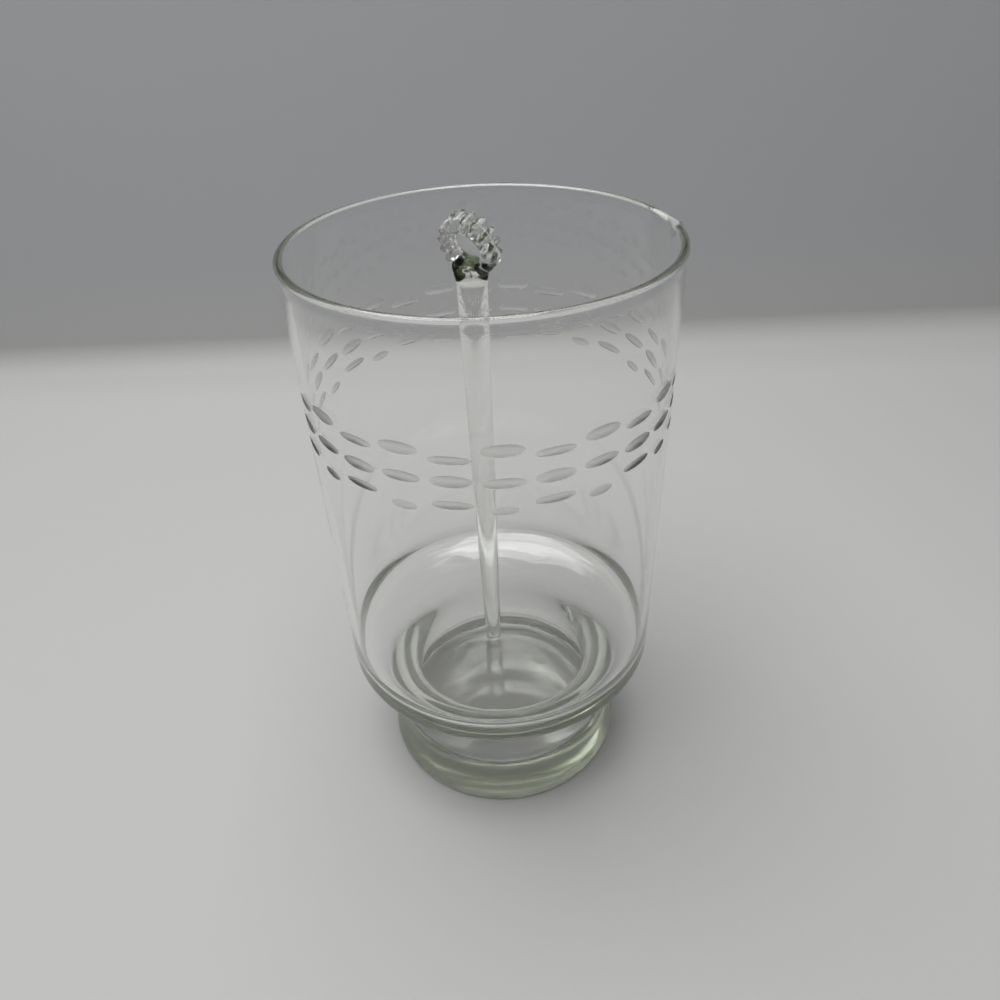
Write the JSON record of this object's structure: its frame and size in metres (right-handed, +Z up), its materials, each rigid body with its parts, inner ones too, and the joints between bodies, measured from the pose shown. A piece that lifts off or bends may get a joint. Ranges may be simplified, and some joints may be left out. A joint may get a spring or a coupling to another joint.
{
  "type": "cocktail pitcher",
  "caption": "Tall straight clear-glass pitcher with a waisted thick foot, a small pulled pour lip and rows of cut dashes, and a leaning glass stirring rod with a beaded knob.",
  "frame": {"origin": "centre of the foot's flat underside, on the table", "axes": "+Z up along the vessel's axis, +X towards the pour lip"},
  "size_m": [0.1197, 0.1213, 0.2289],
  "materials": {
    "clear_glass": "fire-polished clear glass with satin-ground dashes",
    "thick_glass": "polished clear glass, faintly grey-green where it is thick",
    "stirrer_glass": "polished clear glass rod"
  },
  "bodies": {
    "vessel": {"bowl": "clear_glass", "foot": "thick_glass"},
    "stirrer": {"stirrer_rod": "stirrer_glass", "stirrer_collar": "stirrer_glass", "stirrer_knob": "stirrer_glass"}
  },
  "joints": [
    {"name": "stirrer_lift", "type": "slide", "parent": "vessel", "child": "stirrer", "axis": [-0.077, -0.382, 0.9209], "range_m": [0, 0.25]}
  ]
}
